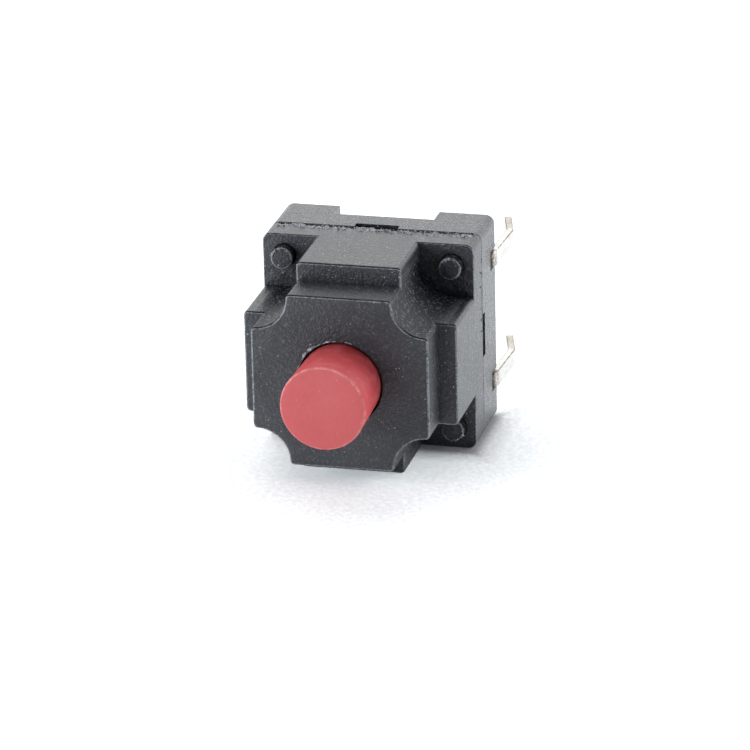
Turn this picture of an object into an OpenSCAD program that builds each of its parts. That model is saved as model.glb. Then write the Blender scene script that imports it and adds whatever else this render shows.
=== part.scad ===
// Four-lead pushbutton switch for a circuit board.
// Each piece is drawn with the board plane at z = 0 and the plunger along +z, then the whole switch is laid on
// its side, so that the plunger points to -y and the switch rests on z = 0.

/* [Housing] */
// Width and height of the square body
body_w = 7.5; // [7.3:0.1:9]
// Depth of the rear shell, from the board plane to the seam
base_h = 2.06; // [1.96:0.02:2.4]
// Thickness of the cover's square flange
flange_h = 1.22; // [0.9:0.02:1.6]
// Depth of the lower tier, in front of the flange
tier_2_h = 2.72; // [2.3:0.02:3.2]
// Depth of the upper tier
tier_1_h = 1.5; // [1.3:0.02:2]
// Step from the side of the lower tier in to the side of the upper tier
tier_step = 0.65; // [0.4:0.05:0.7]
// Radius at the root of each scooped corner
scoop_r = 1.14; // [0.8:0.02:1.3]
// Corner rounding of the flange and the rear shell
shell_corner_r = 0.3; // [0.1:0.05:0.5]
// Corner rounding of the two tiers
tier_corner_r = 0.12; // [0.04:0.02:0.2]
// Thinnest wall round the chamber inside the cover
chamber_wall = 0.7; // [0.6:0.05:0.8]
// Thickness of the wall in front of the chamber
front_wall = 1.1; // [0.9:0.05:1.2]

/* [Posts] */
// Diameter of each post
post_d = 0.8; // [0.6:0.05:0.9]
// Height of each post above the flange
post_proud = 0.41; // [0.2:0.01:0.6]
// Depth to which each post is rooted behind the seam
post_root = 0.3; // [0.1:0.05:0.5]
// Chamfer round the top of each post
post_chamfer = 0.06; // [0.02:0.01:0.1]
// Radial clearance of each post in the cover
post_gap = 0.03; // [0.01:0.01:0.06]

/* [Rear shell] */
// Height of the inner floor above the board plane
floor_z = 1.4; // [1.3:0.05:1.5]
// Thinnest wall round the seat on the inner floor
seat_wall = 0.85; // [0.75:0.05:0.95]
// Width of each of the two board rails
rail_w = 1.95; // [1.7:0.05:2.2]
// Depth of the channel between the two board rails
channel_h = 0.9; // [0.5:0.05:0.95]
// Width of the slit in the middle of each side
slit_w = 1.55; // [1:0.05:2]
// Height of each slit behind the seam
slit_h = 0.32; // [0.2:0.02:0.5]
// Width of the pocket round each lead
pocket_w = 0.67; // [0.6:0.01:0.8]
// Height of the pocket round each lead
pocket_h = 0.75; // [0.65:0.05:0.9]
// Depth of the pocket round each lead
pocket_d = 0.2; // [0.16:0.01:0.3]

/* [Plunger] */
// Diameter of the plunger
plunger_d = 2.84; // [2.4:0.02:3.4]
// Height of the plunger in front of the cover
plunger_out = 2.4; // [1.6:0.1:4]
// Travel of the plunger
travel = 1.2; // [0.8:0.05:1.4]
// Radial clearance of the plunger in the cover
plunger_gap = 0.07; // [0.03:0.005:0.1]
// Chamfer round the tip of the plunger
tip_chamfer = 0.08; // [0.02:0.02:0.2]
// Radial clearance round the collar that keeps the plunger in
collar_gap = 0.2; // [0.1:0.05:0.4]
// Thickness of the collar
collar_h = 0.92; // [0.5:0.02:1]
// Diameter of the nose that pushes the dome
nose_d = 2.4; // [1.6:0.1:2.8]
// Clearance between the collar and the front wall at rest
stop_gap = 0.08; // [0.02:0.02:0.2]

/* [Dome] */
// Diameter of the dome's crown
crown_d = 2.9; // [2.6:0.1:3.1]
// Height of the dome's crown
crown_h = 1.25; // [0.9:0.05:1.4]
// Width of the dome's seat flange
dome_flange_w = 0.85; // [0.7:0.05:0.95]
// Width of the dome's skirt wall at its foot
skirt_t = 0.25; // [0.15:0.05:0.35]
// Diameter of the contact pill
pill_d = 1.9; // [1.4:0.1:2]
// Thickness of the contact pill
pill_h = 0.5; // [0.4:0.05:0.7]
// Depth to which the pill sits in the crown
pill_seat = 0.25; // [0.15:0.05:0.3]
// Clearance round the dome and the pill
dome_gap = 0.03; // [0.02:0.01:0.05]
// Space left under the pill at full travel
contact_gap = 0.05; // [0.02:0.01:0.1]

/* [Terminals] */
// Distance between the two leads on one side
lead_pitch = 4.5; // [4.2:0.1:4.8]
// Width of each lead
lead_w = 0.55; // [0.4:0.05:0.6]
// Thickness of the strip
strip_t = 0.25; // [0.2:0.01:0.28]
// How far each lead stands out of the side of the body
lead_proud = 0.1; // [0.06:0.02:0.14]
// Height of the strip above the board plane where it leaves the body
exit_z = 0.45; // [0.4:0.01:0.5]
// Outward lean of each lead down to its kink
lead_lean = 0.12; // [0:0.02:0.2]
// Distance from the board plane to the kink
kink_out = 2; // [1.6:0.1:2.4]
// How far the tail turns in after the kink
tail_in = 0.42; // [0:0.02:0.6]
// Length of the tail along the lead
tail_h = 1.5; // [1:0.1:1.8]
// Corner rounding at the end of each lead
lead_tip_r = 0.21; // [0.05:0.01:0.22]
// Bend radius of the strip along its middle
bend_r = 0.25; // [0.2:0.01:0.28]
// Distance from the side of the body in to the foot of the strip's step
step_in = 1.25; // [1.15:0.05:1.3]
// Sideways run of the strip's step
step_run = 0.25; // [0.15:0.05:0.3]
// Width of each contact pad
pad_w = 1.6; // [1:0.1:1.8]
// Space between the two contact pads
pad_space = 0.3; // [0.2:0.05:0.5]
// Height of the pads above the inner floor
pad_proud = 0.04; // [0.02:0.01:0.06]
// Clearance of the strips in the rear shell
insert_gap = 0.02; // [0.01:0.005:0.03]

/* [Hidden] */
$fn = 96;

// Overrun that lets a cutter pass a face
over = 1;
// Number of steps in each bend of the strip
bend_steps = 6;

flange_z = base_h + flange_h;
tier_2_z = flange_z + tier_2_h;
front_z = tier_2_z + tier_1_h;
tip_z = front_z + plunger_out;
tier_1_w = body_w - 2 * tier_step;
post_x = tier_1_w / 2 - tier_corner_r;
wing_w = 2 * (post_x - scoop_r);
chamber_r = tier_1_w / 2 - chamber_wall;
chamber_z = front_z - front_wall;
seat_r = body_w / 2 - seat_wall;
channel_w = body_w - 2 * rail_w;
bore_r = plunger_d / 2 + plunger_gap;

pad_z = floor_z + pad_proud;
pill_z = pad_z + travel + contact_gap;
crown_z = pill_z + pill_h - pill_seat;
crown_top_z = crown_z + crown_h;
nose_z = crown_top_z + dome_gap;
collar_r = chamber_r - collar_gap;
collar_top_z = chamber_z - stop_gap;
collar_z = collar_top_z - collar_h;

strip_z = pad_z - strip_t / 2;
lead_x = body_w / 2 + lead_proud - strip_t / 2;
kink_x = lead_x + lead_lean;
lead_end_z = -kink_out - tail_h;
step_x = body_w / 2 - step_in;
right_half = [
    [step_x - step_run, strip_z],
    [step_x, exit_z],
    [lead_x, exit_z],
    [kink_x, -kink_out],
    [kink_x - tail_in, lead_end_z]
];
left_half = [for (i = [len(right_half) - 1 : -1 : 0]) [-right_half[i].x, right_half[i].y]];
strip_path = rounded_path(concat(left_half, right_half), bend_r);

// Lowest point of the leads, which is the rear end of the switch
rear_z = min([for (p = ribbon(strip_path, strip_t)) p.y]);

// Colours of the mouldings and the metal
black_plastic = [0.13, 0.135, 0.145];
red_plastic = [0.72, 0.2, 0.22];
clear_silicone = [0.72, 0.7, 0.66];
carbon_rubber = [0.07, 0.07, 0.07];
tinned_metal = [0.8, 0.79, 0.76];

function unit(v) = v / norm(v);
function left_of(v) = [-v.y, v.x];
function short_turn(a) = a > 180 ? a - 360 : a < -180 ? a + 360 : a;

// Points of the arc that rounds the corner b between a and c
function corner_arc(a, b, c, r) =
    let (
        u = unit(a - b),
        v = unit(c - b),
        half = acos(u * v) / 2,
        middle = b + unit(u + v) * r / sin(half),
        from = b + u * r / tan(half) - middle,
        to = b + v * r / tan(half) - middle,
        start = atan2(from.y, from.x),
        turn = short_turn(atan2(to.y, to.x) - start)
    )
    [for (i = [0 : bend_steps]) middle + r * [cos(start + turn * i / bend_steps), sin(start + turn * i / bend_steps)]];

function rounded_path(p, r) = concat(
    [p[0]],
    [for (i = [1 : len(p) - 2]) each corner_arc(p[i - 1], p[i], p[i + 1], r)],
    [p[len(p) - 1]]
);

// Normal of a path at point i, lengthened so that both neighbouring edges keep the same distance
function mitre(p, i) =
    let (
        last = len(p) - 1,
        before = left_of(unit(p[max(i, 1)] - p[max(i, 1) - 1])),
        after = left_of(unit(p[min(i, last - 1) + 1] - p[min(i, last - 1)])),
        mean = unit(before + after)
    )
    mean / (mean * before);

function ribbon(p, t) = concat(
    [for (i = [0 : len(p) - 1]) p[i] + mitre(p, i) * t / 2],
    [for (i = [len(p) - 1 : -1 : 0]) p[i] - mitre(p, i) * t / 2]
);

module lay_on_side() {
    translate([0, (tip_z + rear_z) / 2, body_w / 2])
        rotate([90, 0, 0])
            children();
}

module rounded_rect(w, h, r) {
    square([w - 2 * r, h], center = true);
    square([w, h - 2 * r], center = true);
    for (x = [-1, 1], y = [-1, 1])
        translate([x * (w / 2 - r), y * (h / 2 - r)])
            circle(r);
}

module slab(w, z, h, r) {
    translate([0, 0, z])
        linear_extrude(h)
            rounded_rect(w, w, r);
}

module at_posts() {
    for (x = [-1, 1], y = [-1, 1])
        translate([x * post_x, y * post_x])
            children();
}

// Plan of one tier: two crossed wings whose inner corners run round the scoops
module tier_plan(w) {
    rounded_rect(w, wing_w, tier_corner_r);
    rounded_rect(wing_w, w, tier_corner_r);
    for (turn = [0 : 90 : 270])
        rotate(turn)
            translate([wing_w / 2, wing_w / 2])
                difference() {
                    translate([-scoop_r, -scoop_r])
                        square(2 * scoop_r);
                    translate([scoop_r, scoop_r])
                        circle(scoop_r);
                }
}

module post() {
    rotate_extrude()
        polygon([
            [0, base_h - post_root],
            [post_d / 2, base_h - post_root],
            [post_d / 2, flange_z + post_proud - post_chamfer],
            [post_d / 2 - post_chamfer, flange_z + post_proud],
            [0, flange_z + post_proud]
        ]);
}

// Bent strip with a lead at each end and a contact pad in the middle, enlarged all round by grow
module strip(grow) {
    width = lead_w + 2 * grow;
    translate([0, lead_pitch / 2, 0])
        intersection() {
            rotate([90, 0, 0])
                linear_extrude(width, center = true)
                    polygon(ribbon(strip_path, strip_t + 2 * grow));
            rotate([90, 0, 90])
                linear_extrude(2 * body_w, center = true)
                    translate([0, rear_z + body_w / 2])
                        rounded_rect(width, body_w, lead_tip_r);
        }
    translate([-pad_w / 2 - grow, pad_space / 2 - grow, pad_z - strip_t - grow])
        cube([pad_w + 2 * grow, (lead_pitch - pad_space) / 2 + 2 * grow, strip_t + 2 * grow]);
}

module lead_pockets() {
    for (x = [-1, 1], y = [-1, 1])
        translate([x * body_w / 2, y * lead_pitch / 2, 0])
            cube([2 * pocket_d, pocket_w, 2 * pocket_h], center = true);
}

module slits() {
    for (turn = [0 : 90 : 270])
        rotate(turn)
            translate([seat_r - over, -slit_w / 2, base_h - slit_h])
                cube([body_w, slit_w, slit_h + over]);
}

module base_housing() {
    color(black_plastic)
        lay_on_side() {
            difference() {
                slab(body_w, 0, base_h, shell_corner_r);
                translate([0, 0, floor_z])
                    cylinder(r = seat_r, h = base_h);
                cube([channel_w, 2 * body_w, 2 * channel_h], center = true);
                slits();
                lead_pockets();
                strip(insert_gap);
                rotate(180)
                    strip(insert_gap);
            }
            at_posts()
                post();
        }
}

module cover() {
    color(black_plastic)
        lay_on_side()
            difference() {
                union() {
                    slab(body_w, base_h, flange_h, shell_corner_r);
                    translate([0, 0, base_h])
                        linear_extrude(tier_2_z - base_h)
                            tier_plan(body_w);
                    translate([0, 0, base_h])
                        linear_extrude(front_z - base_h)
                            tier_plan(tier_1_w);
                }
                translate([0, 0, base_h - over])
                    cylinder(r = chamber_r, h = chamber_z - base_h + over);
                cylinder(r = bore_r, h = front_z + over);
                at_posts()
                    cylinder(r = post_d / 2 + post_gap, h = front_z + over);
            }
}

module plunger() {
    color(red_plastic)
        lay_on_side()
            rotate_extrude()
                polygon([
                    [0, nose_z],
                    [nose_d / 2, nose_z],
                    [nose_d / 2, collar_z],
                    [collar_r, collar_z],
                    [collar_r, collar_top_z],
                    [plunger_d / 2, collar_top_z],
                    [plunger_d / 2, tip_z - tip_chamfer],
                    [plunger_d / 2 - tip_chamfer, tip_z],
                    [0, tip_z]
                ]);
}

module rubber_dome() {
    foot_z = pad_z + dome_gap;
    flange_top_z = base_h - dome_gap;
    outer_r = seat_r - dome_gap;
    inner_r = outer_r - dome_flange_w;
    recess_r = pill_d / 2 + dome_gap;
    recess_z = crown_z + pill_seat + dome_gap;
    color(clear_silicone)
        lay_on_side()
            rotate_extrude()
                polygon([
                    [inner_r, foot_z],
                    [outer_r, foot_z],
                    [outer_r, flange_top_z],
                    [inner_r + skirt_t, flange_top_z],
                    [crown_d / 2, crown_z + skirt_t],
                    [crown_d / 2, crown_top_z],
                    [0, crown_top_z],
                    [0, recess_z],
                    [recess_r, recess_z],
                    [recess_r, crown_z],
                    [crown_d / 2 - skirt_t, crown_z],
                    [inner_r, flange_top_z - skirt_t]
                ]);
}

module contact_pill() {
    color(carbon_rubber)
        lay_on_side()
            translate([0, 0, pill_z])
                cylinder(d = pill_d, h = pill_h);
}

module terminal_upper() {
    color(tinned_metal)
        lay_on_side()
            strip(0);
}

module terminal_lower() {
    color(tinned_metal)
        lay_on_side()
            rotate(180)
                strip(0);
}

base_housing();
cover();
plunger();
rubber_dome();
contact_pill();
terminal_upper();
terminal_lower();
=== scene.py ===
import math

import bmesh
import bpy
from bpy.props import FloatProperty, FloatVectorProperty, IntProperty, PointerProperty
from bpy.types import Operator, Panel, PropertyGroup
from mathutils import Matrix, Vector, noise


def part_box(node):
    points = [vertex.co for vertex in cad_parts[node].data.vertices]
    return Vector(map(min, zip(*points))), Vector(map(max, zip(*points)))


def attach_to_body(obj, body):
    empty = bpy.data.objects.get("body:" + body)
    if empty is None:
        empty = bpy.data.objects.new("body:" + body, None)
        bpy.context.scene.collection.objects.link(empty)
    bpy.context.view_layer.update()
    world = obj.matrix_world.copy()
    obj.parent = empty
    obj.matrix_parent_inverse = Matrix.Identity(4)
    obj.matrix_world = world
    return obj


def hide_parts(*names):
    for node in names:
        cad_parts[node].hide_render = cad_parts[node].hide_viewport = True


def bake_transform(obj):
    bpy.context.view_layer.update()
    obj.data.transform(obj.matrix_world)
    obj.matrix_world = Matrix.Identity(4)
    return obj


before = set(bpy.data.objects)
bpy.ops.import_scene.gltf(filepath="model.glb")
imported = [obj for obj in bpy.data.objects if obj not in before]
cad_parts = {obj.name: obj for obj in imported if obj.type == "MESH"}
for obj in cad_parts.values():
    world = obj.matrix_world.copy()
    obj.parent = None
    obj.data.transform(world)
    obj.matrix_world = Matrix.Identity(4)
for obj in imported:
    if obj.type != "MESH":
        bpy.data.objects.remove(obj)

bl_info = {
    "name": "Pushbutton looks",
    "version": (1, 0, 0),
    "blender": (4, 5, 0),
    "location": "View3D > Sidebar > Pushbutton",
    "description": "Rounded edges, moulding flash, wear and finishes of a four-lead pushbutton",
    "category": "Object",
}

MM = 0.001
EDGE = "edge"
# Colour of the dark dull shader that paints shade on the black plastic
PAINTED_SHADE_COLOR = (0.012, 0.013, 0.016, 1.0)
# Width of the camera's sensor in millimetres, and half the floor's width in metres
SENSOR_WIDTH = 36.0
FLOOR_HALF = 1.5
# Angles over which an edge stays sharp on carved and on turned pieces
SHARP_CARVED = math.radians(40)
SHARP_TURNED = math.radians(38)

# Levels along the switch, forward from the board plane; these and all sizes below are in millimetres
SEAM = 2.06
FLANGE = 3.28
TIER_2 = 6.0
FRONT = 7.5
TIP = 9.9
# Height of the plunger's axis above the floor
AXIS_HEIGHT = 3.75
# Both shells; the edges at the seam and on the flange have a share of the rounding of the others
SHELL_CORNER = 0.3
SEAM_SOFT = 0.4
FLANGE_SOFT = 0.6
EDGE_WEAR = 0.018
POST = 2.98
POSTS = tuple((x, z) for x in (-POST, POST) for z in (-POST, POST))
POST_R = 0.4
POST_TOP = 3.69
POST_GAP = 0.03
# Cover
WING = 1.84
WING_PROUD = 0.003
TIER_STEP = 0.65
TIER_CORNER = 0.16
BORE_R = 1.49
CHAMBER = 6.4
CHAMBER_R = 2.4
TORN_ROWS = ((0.0, 1.0), (0.05, 0.95), (0.16, 0.55))
TORN_END = 0.3
TORN_LEAST = 0.006
# Rear shell
RAIL = 1.8
CHANNEL = 0.9
SLIT_W = 1.55
SLIT_H = 0.32
POCKET = (0.67, 0.75, 0.2)
SEAT_R = 2.9
SEAT_FLOOR = 1.4
# Plunger
STEM_R = 1.42
STEM_TIP_R = 1.485
NOSE = 4.22
NOSE_R = 1.2
COLLAR = (5.4, 6.32)
COLLAR_R = 2.2
COLLAR_EDGE = 0.08
RIM_STEPS = 5
# Dome
DOME_FOOT = 1.47
DOME_FLANGE = 2.03
DOME_CROWN = (2.94, 4.19)
DOME_RING = 0.85
DOME_SKIN = 0.25
CROWN_R = (1.2, 1.45)
CROWN_EDGE = 0.06
PILL_R = 0.98
PILL_DEPTH = 0.28
# Terminals
LEAD = 2.25
LEAD_W = 0.55
STRIP_T = 0.25
BEND_R = 0.25
LEAD_TIP_R = 0.21
STRIP_PATH = ((2.25, 1.315), (2.5, 0.45), (3.725, 0.45), (3.845, -2.0), (3.425, -3.5))
PAD = (0.8, 0.15, 2.25, 1.44)
PAD_SHY = 0.002
# Flash; the sides carry a share of the crumbs of the top
CRUMB_BAND = (0.5, 0.1)
CRUMB_SIDES = 0.25
CRUMB_INSET = 0.2
CRUMB_SUNK = 0.01
LIP_GAP = 0.03
LIP_W = 0.075
LIP_TALL = 0.05
LIP_TURN = math.radians(126)
RIM_INSET = 0.08
RIM_W = 0.07
RIM_TALL = 0.07
RIDGE_TALL = 0.105
# Overrun that lets a cutter pass a face, and depth to which joined solids are sunk into each other
OVER = 1.0
SUNK = 0.3
# Steps round large and small circles, spacing of the points of a torn edge, and length that counts as none
ROUND = 96
ROUND_POST = 48
TORN_STEP = 0.03
SLIVER = 1e-5


class HousingLook(PropertyGroup):
    """Finish of the black shells"""

    edge_round: FloatProperty(
        name="Edge rounding", description="Rounding of the outer moulded edges",
        default=0.065 * MM, unit="LENGTH", precision=6,
    )
    seam_tear: FloatProperty(
        name="Seam tear", description="Depth of the torn edge of the cover at the seam",
        default=0.13 * MM, unit="LENGTH", precision=6,
    )
    mouth_round: FloatProperty(
        name="Mouth rounding", description="Rounding of the mouth of the plunger hole",
        default=0.015 * MM, unit="LENGTH", precision=6,
    )
    color: FloatVectorProperty(
        name="Plastic", description="Colour of the black plastic",
        default=(0.017, 0.020, 0.027), subtype="COLOR",
    )
    # Pale colour of the dust, and of the rubbed edges, which also carry painted edge highlights
    dust_and_edge_highlight: FloatVectorProperty(
        name="Dust", description="Colour of the dust and the rubbed edges",
        default=(0.28, 0.30, 0.33), subtype="COLOR",
    )
    roughness: FloatProperty(
        name="Roughness", description="Middle roughness of the plastic", default=0.36, min=0, max=1,
    )


class FlashLook(PropertyGroup):
    """Crumbs of moulding flash on the seam"""

    size: FloatProperty(
        name="Crumb size", description="Largest half width of a crumb",
        default=0.14 * MM, unit="LENGTH", precision=6,
    )
    per_mm2: FloatProperty(
        name="Crumbs per square millimetre", description="Density of the crumbs on the seam",
        default=210.0, min=0,
    )
    seed: IntProperty(name="Seed", description="Seed of the scatter", default=4)


class PlungerLook(PropertyGroup):
    """Finish of the red plunger"""

    segments: IntProperty(name="Segments", description="Steps round the plunger", default=128, min=24)
    rim_round: FloatProperty(
        name="Rim rounding", description="Rounding of the rim of the tip",
        default=0.06 * MM, unit="LENGTH", precision=6,
    )
    color: FloatVectorProperty(
        name="Plastic", description="Colour of the red plastic",
        default=(0.53, 0.05, 0.06), subtype="COLOR",
    )
    # Pale colour of the bloom and specks, and of the painted highlights on the tip's face and rim
    bloom_and_highlight: FloatVectorProperty(
        name="Bloom", description="Colour of the pale bloom and specks",
        default=(0.78, 0.34, 0.34), subtype="COLOR",
    )


class LeadLook(PropertyGroup):
    """Finish of the stamped terminals"""

    edge_round: FloatProperty(
        name="Edge rounding", description="Rounding of the stamped edges",
        default=0.03 * MM, unit="LENGTH", precision=6,
    )
    tin: FloatVectorProperty(
        name="Tin", description="Colour of the tinned faces", default=(0.64, 0.635, 0.615), subtype="COLOR",
    )
    bare: FloatVectorProperty(
        name="Bare metal", description="Colour of the cut edges",
        default=(0.20, 0.17, 0.14), subtype="COLOR",
    )


class StageLook(PropertyGroup):
    """Camera, light and floor"""

    aim: FloatVectorProperty(
        name="Aim", description="Point that the camera looks at",
        default=(0.113 * MM, 0.068 * MM, 2.433 * MM), subtype="XYZ_LENGTH", precision=6,
    )
    azimuth: FloatProperty(
        name="Azimuth", description="Camera's turn to the right of the plunger",
        default=math.radians(14.383), subtype="ANGLE",
    )
    elevation: FloatProperty(
        name="Elevation", description="Camera's height above the horizon",
        default=math.radians(20.891), subtype="ANGLE",
    )
    roll: FloatProperty(
        name="Roll", description="Camera's roll", default=math.radians(-1.351), subtype="ANGLE",
    )
    distance: FloatProperty(
        name="Distance", description="Camera's distance from the aim", default=182.775 * MM, unit="LENGTH",
    )
    lens: FloatProperty(
        name="Lens", description="Focal length in millimetres on a 36 mm sensor", default=252.0,
    )
    sky: FloatProperty(name="Sky", description="Strength of the white surroundings", default=0.10, min=0)
    back: FloatProperty(
        name="Back panel", description="Brightness of the white panel behind", default=2.0, min=0,
    )
    side: FloatProperty(
        name="Side panel", description="Brightness of the white panel on the right", default=2.7, min=0,
    )
    top: FloatProperty(name="Softbox", description="Brightness of the softbox above", default=2.1, min=0)
    fill: FloatProperty(
        name="Fill", description="Brightness of the fill from the front left", default=9.0, min=0,
    )
    lift: FloatProperty(
        name="Floor lift", description="Light added to the floor as the camera sees it",
        default=0.36, min=0,
    )
    mirror_lift: FloatProperty(
        name="Mirrored floor lift", description="Light added to the floor as reflections see it",
        default=0.8, min=0.01,
    )
    floor: FloatVectorProperty(
        name="Floor", description="Colour of the floor", default=(0.92, 0.925, 0.935), subtype="COLOR",
    )


class Value:
    """Output socket of a node, which takes arithmetic"""

    def __init__(self, tree, socket):
        self.tree = tree
        self.socket = socket

    def _math(self, kind, *others, clamp=False):
        made = self.tree.nodes.new("ShaderNodeMath")
        made.operation = kind
        made.use_clamp = clamp
        for place, item in zip(made.inputs, (self, *others)):
            feed(self.tree, place, item)
        return Value(self.tree, made.outputs[0])

    def __add__(self, other):
        return self._math("ADD", other)

    def __sub__(self, other):
        return self._math("SUBTRACT", other)

    def __rsub__(self, other):
        return (self * -1.0) + other

    def __mul__(self, other):
        return self._math("MULTIPLY", other)

    __radd__ = __add__
    __rmul__ = __mul__

    def __pow__(self, other):
        return self._math("POWER", other)

    def __abs__(self):
        return self._math("ABSOLUTE")

    def larger(self, other):
        return self._math("MAXIMUM", other)

    def clamped(self):
        return self._math("MULTIPLY", 1.0, clamp=True)

    def above(self, low, high):
        """0 on the side of low, 1 on the side of high, and a ramp between them"""
        return self._math("SUBTRACT", low)._math("MULTIPLY", 1.0 / (high - low), clamp=True)


def feed(tree, place, item):
    """Links a value to an input, or sets the input to a plain number or colour"""
    if isinstance(item, Value):
        tree.links.new(item.socket, place)
    else:
        place.default_value = item


class Graph:
    """Node tree that is filled by calls"""

    def __init__(self, tree):
        self.tree = tree

    def add(self, kind, inputs=None, out=None, **settings):
        """Adds any node, feeds its inputs by name or number and returns one output, several, or the node"""
        made = self.tree.nodes.new(kind)
        for key, item in settings.items():
            setattr(made, key, item)
        for key, item in (inputs or {}).items():
            feed(self.tree, made.inputs[key], item)
        if out is None:
            return made
        if isinstance(out, tuple):
            return [Value(self.tree, made.outputs[key]) for key in out]
        return Value(self.tree, made.outputs[out])


class Surface(Graph):
    """Material that ends in a principled shader"""

    def __init__(self, name):
        self.material = bpy.data.materials.new(name)
        self.material.use_nodes = True
        super().__init__(self.material.node_tree)
        self.tree.nodes.clear()
        scaled = {"Vector": self.add("ShaderNodeTexCoord", out="Object"), "Scale": 1.0 / MM}
        self.mm = self.add("ShaderNodeVectorMath", scaled, operation="SCALE", out="Vector")

    def noise(self, scale, detail=2.0, rough=0.5):
        inputs = {"Vector": self.mm, "Scale": scale, "Detail": detail, "Roughness": rough}
        return self.add("ShaderNodeTexNoise", inputs, out="Fac")

    def specks(self, scale, share, radius):
        """Sparse round specks: a share of the cells of a cell pattern carries one each"""
        cells = {"Vector": self.mm, "Scale": scale}
        near, color = self.add("ShaderNodeTexVoronoi", cells, out=("Distance", "Color"))
        pick, grade = self.add("ShaderNodeSeparateColor", {"Color": color}, out=(0, 1))
        size = grade * radius + radius * 0.4
        return pick.above(1.0 - share, 1.0 - share + 0.01) * (size - near).above(0.0, 0.12)

    def mix(self, share, a, b):
        a, b = (color if isinstance(color, Value) else (*color, 1.0) for color in (a, b))
        return self.add("ShaderNodeMix", {0: share, 6: a, 7: b}, out=2, data_type="RGBA")

    def attribute(self, name):
        return self.add("ShaderNodeAttribute", attribute_name=name, out="Fac")

    def parts(self, vector):
        return self.add("ShaderNodeSeparateXYZ", {"Vector": vector}, out=(0, 1, 2))

    def place(self):
        """Place across, along and up in millimetres"""
        return self.parts(self.mm)

    def normal(self):
        """Surface normal across, along and up"""
        return self.parts(self.add("ShaderNodeNewGeometry", out="Normal"))

    def finish(self, height=None, depth=0.0, strength=1.0, matte=None, **inputs):
        """Ends the tree in a principled shader; where the share of painted shade is 1, a dark dull shader
        takes its place as painted shade
        """
        inputs = {key.replace("_", " ").title().replace("Ior", "IOR"): item for key, item in inputs.items()}
        if height is not None:
            relief = {"Height": height, "Distance": depth, "Strength": strength}
            inputs["Normal"] = self.add("ShaderNodeBump", relief, out="Normal")
        shader = self.add("ShaderNodeBsdfPrincipled", inputs, out=0)
        if matte is not None:
            dull = self.add("ShaderNodeBsdfDiffuse", {"Color": PAINTED_SHADE_COLOR}, out=0)
            shader = self.add("ShaderNodeMixShader", {0: matte, 1: shader, 2: dull}, out=0)
        self.add("ShaderNodeOutputMaterial", {0: shader})
        return self.material


def black_plastic(look):
    """Speckled black plastic with rubbed edges that are pale partly from wear and partly as painted
    highlight, painted shade on the upper half of rounded top edges, and gritty, dull scooped corners with
    painted shade deep in them
    """
    s = Surface("black_plastic")
    cloud = s.noise(0.55, 4.0, 0.6)
    grain = s.noise(6.0, 3.0, 0.6)
    fine = s.noise(15.0, 2.0, 0.55)
    scuff = s.noise(2.4, 5.0, 0.72)
    pitted = s.noise(7.0, 4.0, 0.7) * 0.6 + fine * 0.4
    edge = s.attribute(EDGE)
    _, facing, up = s.normal()
    across, along, height = s.place()
    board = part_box("base_housing")[1].y / MM

    # Where a point lies: on the rear shell, ahead of the flange, and how far from the nearest post's axis
    rear = (along - (board - SEAM)).above(0.0, 0.02)
    ahead = (board - FLANGE) - along
    # How deep a point lies in the scoops, towards the flange; the deepest part carries painted shade
    deep = ahead.above(2.6, 0.6)
    from_post = (abs(across) - POST) ** 2.0 + (abs(height - AXIS_HEIGHT) - POST) ** 2.0
    scoop = from_post.above(1.5, 1.3) * abs(facing).above(0.5, 0.3) * ahead.above(0.0, 0.05)

    grit = scoop * pitted.above(0.55, 0.6)
    # Painted shade: the upper half of rounded top edges, away from the posts, is darkened and loses its dust
    shaded_crest = edge * up.above(0.35, 0.65) * from_post.above(0.2, 0.25)
    # Rubbed edges: pale partly as real wear and partly as painted edge highlight
    worn = (edge - shaded_crest) * (scuff * 0.5 + fine * 0.5).above(0.36, 0.54)
    settled = (0.24 + 0.16 * up.clamped()) * (1.0 - 0.8 * scoop) * (1.0 - shaded_crest)
    powder = (fine * 0.65 + grain * 0.35).above(0.52, 0.68) * settled
    pale = (worn * 0.7 + powder + grit * 0.7 + (cloud.above(0.42, 0.75) * 0.04)).clamped()
    large, middling, small = s.specks(2.3, 0.2, 0.085), s.specks(4.7, 0.16, 0.13), s.specks(9.0, 0.24, 0.2)
    motes = (large + middling + small * 0.7).clamped()
    plain = s.mix(pale, look.color, look.dust_and_edge_highlight)
    rough = (look.roughness - 0.09) + 0.22 * grain - 0.05 * edge - 0.09 * rear
    return s.finish(
        height=grain * 0.5 + fine * 0.5 + scoop * pitted * 2.5,
        depth=0.07 * MM,
        strength=0.8,
        # Painted shade: a dark dull shader deep in the scoops, beside the flange, and on the upper half of
        # rounded top edges
        matte=(scoop * deep * (0.85 - 0.5 * pitted.above(0.5, 0.6)) + shaded_crest * 0.7).clamped(),
        base_color=s.mix(motes * 0.85, plain, (0.68, 0.69, 0.71)),
        roughness=rough + scoop * (0.1 + 0.35 * deep) - 0.1 * shaded_crest,
        ior=1.5,
    )


def flash_plastic(look):
    """Torn plastic, pale where it is thin"""
    s = Surface("flash_plastic")
    grain = s.noise(9.0, 3.0)
    lump = s.noise(4.5, 3.0)
    pale = (lump * 0.6 + grain * 0.4).above(0.42, 0.58)
    color = s.mix(pale, look.color, tuple(1.25 * c for c in look.dust_and_edge_highlight))
    return s.finish(height=grain, depth=0.05 * MM, base_color=color, roughness=0.35 + 0.3 * grain)


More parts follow.
